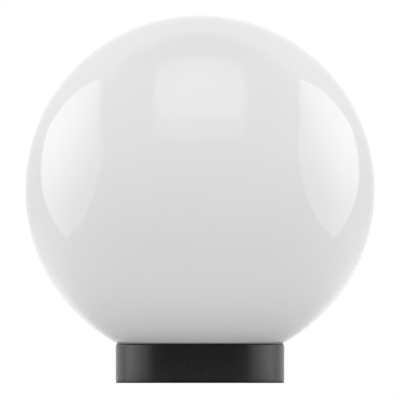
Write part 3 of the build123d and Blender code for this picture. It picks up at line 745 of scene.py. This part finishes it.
def squared(name, size, bottom, top, place, corner=0.0, turn=0.0):
    """An upright block, turned about its own middle, with its four standing edges rounded."""
    bpy.ops.object.select_all(action="DESELECT")
    bpy.ops.mesh.primitive_cube_add(size=1, location=(*place, (bottom + top) / 2), rotation=(0, 0, turn))
    shape = bpy.context.object
    shape.name = name
    shape.scale = (*size, top - bottom)
    bpy.ops.object.transform_apply(location=True, rotation=True, scale=True)
    if corner:
        heights = [vertex.co.z for vertex in shape.data.vertices]
        chosen(shape, "edges", lambda edge: abs(heights[edge.vertices[0]] - heights[edge.vertices[1]]) > 1e-6)
        bpy.ops.mesh.bevel(offset=corner, segments=6)
        bpy.ops.object.mode_set(mode="OBJECT")
    return shape


for place in post_places:
    post = rod("post", post_radius, floor_top - added_root, post_top, 64, place)
    eased(post, 0.0003)
    combined(housing, post)
for place in slot_places:
    collar = long_hole("collar", *collar_size, floor_top - added_root, collar_top, place)
    eased(collar, 0.0003)
    combined(housing, collar)
pad = squared("pad", pad_size, floor_top - added_root, pad_top, pad_place, corner=0.0010)
combined(housing, pad)
print("cup with posts", len(housing.data.polygons), "faces")

# %% Thread and holes of the base
post_hole_radius = 0.00165
pad_hole_radius = 0.00155
pad_hole_bottom = 0.00345
slot_size = (0.0100, 0.0052)
grommet_place = (0.0260, 0.0240)
cable_hole_radius = 0.0081

ridge = thread_ridge("base_thread", base_bore, -globe_thread_height,
                     start_height=globe_thread_start + globe_thread["pitch"] / 2, **globe_thread)
combined(housing, ridge)
for place in post_places:
    bored(housing, post_hole_radius, floor_top, post_top + past, place, 32)
bored(housing, pad_hole_radius, pad_hole_bottom, pad_top + past, pad_place, 32)
for place in slot_places:
    hole = long_hole("slot", *slot_size, floor_bottom - past, collar_top + past, place)
    combined(housing, hole, "DIFFERENCE")
bored(housing, cable_hole_radius, floor_bottom - past, floor_top + past, grommet_place, 96)
finished(housing, "base_housing")

# %% [markdown]
# ## Seal, gasket and grommet
# Three soft pieces keep the water out: a flat rubber ring under the globe's shoulder, a foam pad under the
# base, and a rubber ring round the cable. The seal and the grommet are turned. The pad is a thin disc with
# the same slots as the base. All have slightly rounded edges, because rubber has no sharp ones. The seal's
# top stays a hair below the globe's shoulder, because two faces in one plane would flicker. The foam is
# duller and coarser than rubber: the same grain group makes its open cells, with a larger size and a deeper
# relief.

# %% Globe seal
hair = 0.00002
seal = tube("seal_ring", inner=0.0556, outer=0.0595, bottom=base_top, top=shoulder_height - hair, slices=256)
eased(seal, 0.0001)
finished(seal, "globe_seal")

# %% Mounting gasket
gasket_radius = 0.0600
flange_hole_radius = 0.0106
gasket = rod("foam_pad", gasket_radius, 0, floor_bottom, 256)
eased(gasket, 0.0002)
for place in slot_places:
    combined(gasket, long_hole("slot", *slot_size, -past, floor_bottom + past, place), "DIFFERENCE")
bored(gasket, flange_hole_radius, -past, floor_bottom + past, grommet_place, 96)
finished(gasket, "mounting_gasket")
gasket.data.materials[0] = finish("black cell foam", (0.004, 0.004, 0.004), 0.40, grain=0.0011, depth=0.00005,
                                  colour_change=0.3, roughness_change=0.3, ior=1.40)

# %% Cable grommet
grommet = turned(
    "rubber_grommet",
    [(0.0045, 0.0003), (0.0105, 0.0003), (0.0105, 0.0015), (0.0080, 0.0015), (0.0080, 0.0045),
     (0.0105, 0.0045), (0.0105, 0.0057), (0.0080, 0.0057), (0.0057, 0.0092), (0.0045, 0.0092)],
    96, grommet_place, ring=True,
)
eased(grommet, 0.0003)
finished(grommet, "cable_grommet")

# %% [markdown]
# ## Contact spring
# A small wire spring pushes the centre contact up. A circle of wire is swept by the Screw modifier, five
# turns long. The real spring flattens when the lamp presses the contact down; here it keeps one shape, on
# the body of the spring's imported node.

# %% Contact spring
wire_radius = 0.0003
coil_radius = 0.0032
spring_low = 0.02035
spring_rise = 0.0053
spring_turns = 5

spring = circle("spring_wire", 16, radius=wire_radius, location=(coil_radius, 0, spring_low),
                rotation=(math.pi / 2, 0, 0))
bpy.ops.object.transform_apply(location=True, rotation=True)
wound(spring, spring_turns, spring_rise, steps=240)
finished(spring, "contact_spring")
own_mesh(spring)

# %% [markdown]
# ## Lampholder
# The lamp screws into a glazed porcelain holder: a cup with a thick web, and below the web a chamber for
# the terminals, with two posts that take the holder's screws. It is turned as one ring, because the hole
# for the centre contact runs right through it. Posts are added, and their holes and the slot beside the
# socket, in which the neutral strip climbs, are cut out. Glazed edges are always round, so they are eased
# before that.

# %% Porcelain body
holder_bottom = 0.0175
holder_step = 0.0315
holder_top = 0.0615
chamber_roof = 0.0290
web_top = 0.0330
socket_radius = 0.01435
holder_edge = 0.0015
holder_post_places = [(-0.0115, 0), (0.0115, 0)]
holder_post_radius = 0.0040
holder_screw_radius = 0.00175
holder_screw_top = 0.02505

holder = turned(
    "porcelain_holder",
    [(0.0180, holder_bottom), (0.0220, holder_bottom), (0.0220, holder_step), (0.0195, holder_step)]
    + arc(0.0195 - holder_edge, holder_top - holder_edge, holder_edge, 0, 90, 8)
    + [(socket_radius, holder_top), (socket_radius, web_top), (0.0025, web_top), (0.0025, chamber_roof),
       (0.0180, chamber_roof)],
    192, ring=True,
)
eased(holder, 0.0003)
for place in holder_post_places:
    post = rod("post", holder_post_radius, holder_bottom, chamber_roof + added_root, 64, place)
    combined(holder, post)
    bored(holder, holder_screw_radius, holder_bottom - past, holder_screw_top, place, 48)
print("holder", len(holder.data.polygons), "faces")

# %% Slot beside the socket
riser_turn = math.radians(230.194)
riser_way = Vector((math.cos(riser_turn), math.sin(riser_turn)))


def curved_strip(name, inner, outer, width, bottom, top):
    """A short stretch of a tube's wall on the side where the neutral strip climbs."""
    strip = tube(name, inner, outer, bottom, top, 256)
    depth = 2 * (outer - inner) + width
    middle = riser_way * (inner + outer) / 2
    window = squared("window", (depth, width), bottom - past, top + past, middle, turn=riser_turn)
    combined(strip, window, "INTERSECT")
    return strip


keyway = curved_strip("keyway", 0.01405, 0.01510, 0.0054, chamber_roof - past, 0.0452)
combined(holder, keyway, "DIFFERENCE")
finished(holder, "lampholder_body")

# %% [markdown]
# A threaded sleeve of nickel-plated brass lines the socket. Under the web sit two brass strips: the live
# one carries the contact spring, the neutral one climbs beside the sleeve. Each ends in a square post with
# a hole for the wire and one for its clamp screw.

# %% Socket sleeve
cap_pitch = 0.0254 / 7
cap_thread = dict(root_width=0.0020, crest_width=0.0011, pitch=cap_pitch, rolled=True)
cap_ridge = 0.00095
cap_thread_start = 0.0440
sleeve_bore = 0.01355
sleeve = tube("socket_sleeve", sleeve_bore, outer=0.01425, bottom=web_top, top=0.0605, slices=192)
eased(sleeve, 0.0002)
ridge = thread_ridge("socket_thread", sleeve_bore, -cap_ridge, turns=2.5,
                     start_height=cap_thread_start + cap_pitch / 2, **cap_thread)
combined(sleeve, ridge)
finished(sleeve, "screw_shell", angle=40)

# %% Brass strips
strip_bottom = 0.0192
strip_top = 0.0200
terminal_place = (0.0075, -0.0090)
terminal_side = 0.0065
terminal_screw_height = 0.02245
terminal_screw_radius = 0.00155
wire_hole_radius = 0.0010
wire_hole_top = 0.0275
strip_width = 0.0050
strip_edge = 0.0149
arm_gap = 0.0022


def lying_bar(name, radius, length, centre, along_x):
    """A lying round bar along X or Y: an upright one, tipped over."""
    bar = turned(name, [(radius, -length / 2), (radius, length / 2)], 48)
    bar.location = centre
    bar.rotation_euler = (0, math.pi / 2, 0) if along_x else (math.pi / 2, 0, 0)
    bpy.ops.object.transform_apply(location=True, rotation=True)
    return bar


def terminal(name, x, y):
    """A square brass post under the web, with its wire hole and its screw hole."""
    post = squared(name, (terminal_side, terminal_side), strip_bottom, chamber_roof, (x, y))
    eased(post, 0.0002)
    bored(post, wire_hole_radius, strip_bottom - past, wire_hole_top, (x, y), 32)
    depth = terminal_side / 2 + past
    middle = (x, y - depth / 2, terminal_screw_height)
    hole = lying_bar("screw_hole", terminal_screw_radius, depth, middle, along_x=False)
    combined(post, hole, "DIFFERENCE")
    return post


x, y = terminal_place
live = terminal("live_terminal", x, y)
disc = rod("disc", 0.0050, strip_bottom, strip_top, 96)
turn = math.atan2(y, x)
arm_end = math.hypot(x, y) - arm_gap
arm_middle = Vector((math.cos(turn), math.sin(turn))) * arm_end / 2
arm = squared("arm", (arm_end, strip_width), strip_bottom, strip_top, arm_middle, turn=turn)
combined(disc, arm)
eased(disc, 0.0001)
combined(live, disc)
finished(live, "live_strip")

neutral = terminal("neutral_terminal", -x, y)
foot = curved_strip("foot", 0.0103, strip_edge, strip_width, 0.0282, chamber_roof)
riser = curved_strip("riser", 0.0143, strip_edge, strip_width, 0.0289, 0.0450)
combined(neutral, foot)
combined(neutral, riser)
finished(neutral, "neutral_strip")

# %% [markdown]
# The centre contact is a small brass pin with a flange, which the spring pushes up against the lamp. It is
# turned like the other round pieces, with its flange first and its tip last.

# %% Centre contact
contact = turned("centre_contact", [(0.0042, 0.0260), (0.0042, 0.0272), (0.0024, 0.0272), (0.0024, 0.0354),
                                    (0.0018, 0.0360)], 96)
eased(contact, 0.0002)
finished(contact, "contact_plunger")

# %% [markdown]
# ## Lamp
# The lamp inside is an ordinary LED bulb. Its foot is a soldered disc, a black cone that insulates it, and
# a rolled brass cap with a round thread. The white body flares out from the cap, and a frosted dome closes
# it. All of these are turned. A radius of almost nothing starts and ends the dome's section, because the
# lathe can't scale a circle up again from a point.

# %% Foot and cap of the lamp
foot_disc = turned("soldered_disc", [(0.0048, 0.0372)] + arc(0.0044, 0.0364, 0.0004, 0, -90, 5), 96)
finished(foot_disc, "lamp_contact")

cone = turned("insulator_cone", [(0.00055, 0.0372), (0.0065, 0.0372), (0.01195, 0.0422), (0.00055, 0.0422)],
              128, ring=True)
eased(cone, 0.0002)
finished(cone, "lamp_insulator")

cap = turned("screw_cap", [(0.00925, 0.0422), (0.01225, 0.0422), (0.01225, 0.0620), (0.01175, 0.0620),
                           (0.01175, 0.0427), (0.00925, 0.0427)], 192, ring=True)
eased(cap, 0.0002)
ridge = thread_ridge("cap_thread", 0.01225, cap_ridge, turns=4, start_height=cap_thread_start, **cap_thread)
combined(cap, ridge)
finished(cap, "lamp_cap", angle=40)

# %% Body and dome of the lamp
flare_radius = 0.029125
flare_centre = (0.000875, 0.0900)
lamp_wall = 0.0016
body = turned(
    "lamp_body",
    arc(*flare_centre, flare_radius, -63.21, 0, 24)
    + [(0.0300, 0.1060), (0.0284, 0.1060)]
    + arc(*flare_centre, flare_radius - lamp_wall, 0, -70.64, 24)
    + [(0.0100, 0.0500), (0.0116, 0.0500), (0.0116, 0.0620), (0.0140, 0.0620)],
    192, ring=True,
)
eased(body, 0.0002)
finished(body, "lamp_housing")

dome_centre = (0, 0.1160)
almost_pole = 89.9
dome_shell = turned(
    "frosted_dome",
    arc(*dome_centre, 0.0288, almost_pole, 0, 32)
    + [(0.0288, 0.1084), (0.0270, 0.1072), (0.0270, 0.1040), (0.0282, 0.1040), (0.0282, 0.1060),
       (0.0300, 0.1060)]
    + arc(*dome_centre, 0.0300, 0, almost_pole, 32),
    192,
)
eased(dome_shell, 0.0002)
finished(dome_shell, "lamp_diffuser")

# %% [markdown]
# Inside the lamp, a pressed aluminium cup takes the heat of a round board to the wall. The board carries
# two rings of small square LEDs: one is modelled, with a shallow window in its top, and the rest are copies
# of it.

# %% Cup and board
board_bottom = 0.1024
board_top = 0.1040
pin_places = ((0, -0.0030), (0, 0.0030))
pin_hole_radius = 0.00055
lip = 0.0005
heat_cup = turned(
    "heat_cup",
    [(0.0060, board_bottom)] + arc(0.02825 - lip, board_bottom - lip, lip, 90, 0, 6)
    + [(0.02825, 0.0904), (0.02725, 0.0904), (0.02725, 0.1014), (0.0060, 0.1014)],
    192, ring=True,
)
eased(heat_cup, 0.0001)
finished(heat_cup, "heat_spreader")

board = rod("round_board", 0.0280, board_bottom, board_top, 192)
eased(board, 0.0001)
for place in pin_places:
    bored(board, pin_hole_radius, board_bottom - past, board_top + past, place, 32)
finished(board, "led_board")

# %% LEDs
led_side = 0.0030
led_height = 0.0007
led_rings = ((10, 0.0190), (5, 0.0090))

first = squared("led", (led_side, led_side), board_top, board_top + led_height, (0, 0))
chosen(first, "polygons", lambda face: face.normal.z > 0.9)
bpy.ops.mesh.inset(thickness=0.0003, depth=0)
bpy.ops.mesh.inset(thickness=0.0001, depth=-0.00015)
bpy.ops.object.mode_set(mode="OBJECT")
eased(first, 0.00006)
spots = [(radius, math.tau * step / count) for count, radius in led_rings for step in range(count)]
leds = placed("leds", first, [((radius * math.cos(turn), radius * math.sin(turn), 0), (0, 0, turn))
                              for radius, turn in spots])
finished(leds, "led_chips")

# %% [markdown]
# ## Wiring
# Two insulated leads join the terminal block to the holder. Each is a round tube along a smooth NURBS line,
# whose control points are the corners of the lead's route, so it bends softly and still enters both
# terminals straight.

# %% Leads
lead_radius = 0.0011
lead_height = 0.0105
lead_end = 0.0191
for name, start, across in (
    ("live_lead", (0.0179, -0.0220), terminal_place[0]),
    ("neutral_lead", (0.0179, -0.0320), -terminal_place[0]),
):
    corners = [(*start, lead_height), (across, start[1], lead_height),
               (across, terminal_place[1], lead_height), (across, terminal_place[1], lead_end)]
    curve = bpy.data.curves.new(name, "CURVE")
    curve.dimensions = "3D"
    spline = curve.splines.new("NURBS")
    spline.points.add(len(corners) - 1)
    for point, corner in zip(spline.points, corners):
        point.co = (*corner, 1)
    spline.order_u = 3
    spline.use_endpoint_u = True
    spline.resolution_u = 24
    curve.bevel_depth = lead_radius
    curve.bevel_resolution = 6
    curve.use_fill_caps = True
    wire = bpy.data.objects.new("insulated_" + name, curve)
    bpy.context.scene.collection.objects.link(wire)
    alone(wire)
    bpy.ops.object.convert(target="MESH")
    closed()
    finished(bpy.context.object, name, angle=50)

# %% [markdown]
# The driver stands upright below the board of the LEDs. Its circuit board carries a tall capacitor on one
# face, a wound inductor on the other and a few flat chips. The capacitor's can has a groove near its foot,
# and the inductor's wire shows as a row of round ridges between its flanges.

# %% Driver
board_thickness = 0.0012
part_overlap = 0.00005
driver = squared("circuit_board", (board_thickness, 0.01956), 0.0520, 0.0960, (0, 0))
for side, y, bottom, width, height, thickness in (
    (1, 0.0000, 0.0860, 0.0050, 0.0040, 0.0014), (1, 0.0055, 0.0700, 0.0032, 0.0016, 0.0006),
    (1, 0.0055, 0.0735, 0.0032, 0.0016, 0.0006), (1, -0.0060, 0.0600, 0.0030, 0.0030, 0.0010),
    (-1, 0.0020, 0.0800, 0.0060, 0.0050, 0.0015), (-1, -0.0055, 0.0790, 0.0016, 0.0032, 0.0006),
    (-1, -0.0055, 0.0840, 0.0016, 0.0032, 0.0006), (-1, 0.0055, 0.0560, 0.0032, 0.0016, 0.0006),
):
    middle = side * (board_thickness + thickness - part_overlap) / 2
    chip = squared("chip", (thickness + part_overlap, width), bottom, bottom + height, (middle, y))
    eased(chip, 0.0001)
    combined(driver, chip)
finished(driver, "driver_board")

can_place = (0.00465, 0)
drum_place = (-0.00415, 0)
can = turned("capacitor_can", [(0.0037, 0.0676), (0.0040, 0.0679), (0.0040, 0.0690), (0.0037, 0.0694),
                               (0.0040, 0.0698)] + arc(0.0034, 0.0810, 0.0006, 0, 90, 5)
             + [(0.0031, 0.0816), (0.0030, 0.08145)], 96, can_place)
finished(can, "driver_capacitor")

winding_radius = 0.0003
winding_count = 10
windings = []
for turn in range(winding_count):
    windings += arc(0.0029, 0.0689 + 2 * winding_radius * turn, winding_radius, -80, 80, 4)
drum = turned("wound_drum", [(0.0034, 0.0676), (0.0035, 0.0677), (0.0035, 0.0686)] + windings
              + [(0.0035, 0.0746), (0.0035, 0.0755), (0.0034, 0.0756)], 96, drum_place)
finished(drum, "driver_inductor", angle=50)

# %% [markdown]
# ## Terminal block and screws
# The supply wires meet the leads in a two-pole terminal block: a nylon body with a round tower over each
# clamp screw. A block is rounded, the towers are added, and the bores for the brass barrels and the screws
# are cut. All the screws are one shape in five sizes: a shank with a rolled thread and a round head with a
# cross in it.

# %% Terminal block
block_place = (0.02502, -0.02697)
pole_ys = (block_place[1] - 0.0050, block_place[1] + 0.0050)
clamp_xs = (block_place[0] - 0.0050, block_place[0] + 0.0050)
barrel_height = 0.0105
block_top = 0.0140
tower_top = 0.0170
tower_radius = 0.0035
barrel_bore_radius = 0.0028
clamp_hole_radius = 0.00262
fixing_hole_radius = 0.0016
nylon = squared("nylon_block", pad_size, pad_top, block_top, block_place, corner=0.0015)
eased(nylon, 0.0003)
for y in pole_ys:
    for x in clamp_xs:
        tower = rod("tower", tower_radius, block_top - added_root, tower_top, 64, (x, y))
        eased(tower, 0.0003)
        combined(nylon, tower)
for y in pole_ys:
    middle = (block_place[0], y, barrel_height)
    bore = lying_bar("bore", barrel_bore_radius, pad_size[0] + 2 * past, middle, along_x=True)
    combined(nylon, bore, "DIFFERENCE")
    for x in clamp_xs:
        bored(nylon, clamp_hole_radius, barrel_height, tower_top + past, (x, y), 64)
bored(nylon, fixing_hole_radius, pad_top - past, block_top + past, block_place, 48)
finished(nylon, "terminal_block_body")

# %% One screw for all sizes
head_share = 0.95
head_height = 0.0020
head_round = 0.0008
cross_width = 0.0008
cross_depth = 0.0010
cross_share = 1.2
thread_depth = 0.00025
thread_step = 0.0007
thread_runout = 0.0004


def pan_head_screw(diameter, length):
    """A screw along Z, its head's underside at height 0."""
    head = diameter * head_share
    root = diameter / 2 - thread_depth
    shank = [(root - thread_runout, -length), (root, thread_runout - length), (root, 0)]
    rounded_head = [(head, 0)] + arc(head - head_round, head_height - head_round, head_round, 0, 90, 6)
    shape = turned("screw", shank + rounded_head, 64)
    turns = (length - 3 * thread_runout) / thread_step
    ridge = thread_ridge("thread", root, thread_depth, root_width=0.0005, crest_width=0.00015, steps=32,
                         pitch=thread_step, turns=turns, start_height=1.5 * thread_runout - length)
    combined(shape, ridge)
    for size in ((cross_share * head, cross_width), (cross_width, cross_share * head)):
        cross = squared("cross", size, head_height - cross_depth, head_height + past, (0, 0))
        combined(shape, cross, "DIFFERENCE")
    return shape


print("screw thread", thread_step, "m a turn")

# %% Screws in their places
upright = (0, 0, 0)
upside_down = (math.pi, 0, 0)
towards_front = (math.pi / 2, 0, 0)
front_face = terminal_place[1] - terminal_side / 2
bracket_foot_top = 0.0100
bracket_web_bottom = 0.0160
for name, diameter, length, places, turn in (
    ("bracket_screws", 0.0032, 0.0045, [(x, y, bracket_foot_top) for x, y in post_places], upright),
    ("lampholder_screws", 0.0034, 0.0090,
     [(x, y, bracket_web_bottom) for x, y in holder_post_places], upside_down),
    ("lampholder_terminal_screws", 0.0030, 0.00225,
     [(side * terminal_place[0], front_face, terminal_screw_height) for side in (-1, 1)], towards_front),
    ("terminal_clamp_screws", 0.0026, 0.0026,
     [(x, y, block_top) for y in pole_ys for x in clamp_xs], upright),
    ("terminal_block_screw", 0.0030, 0.0105, [(*block_place, block_top)], upright),
):
    screws = placed("pan_head_" + name, pan_head_screw(diameter, length), [(place, turn) for place in places])
    finished(screws, name)

# %% [markdown]
# ## Small pieces inside
# The bracket, the brass barrels, the ferrules and the driver's pins and wires already have their true
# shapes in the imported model, but their meshes are loose triangles with flat shading. Each is copied, its
# doubled corners are merged, and its round faces are smoothed by angle.

# %% Smoothed copies of the inner pieces
for name in body_of:
    if name in replaced:
        continue
    copy = duplicate(frame["nodes"][name])
    copy.parent = None
    copy.name = "fine_" + name
    alone(copy)
    closed(merge=1e-6)
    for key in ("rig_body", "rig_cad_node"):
        del copy[key]
    finished(copy, name)
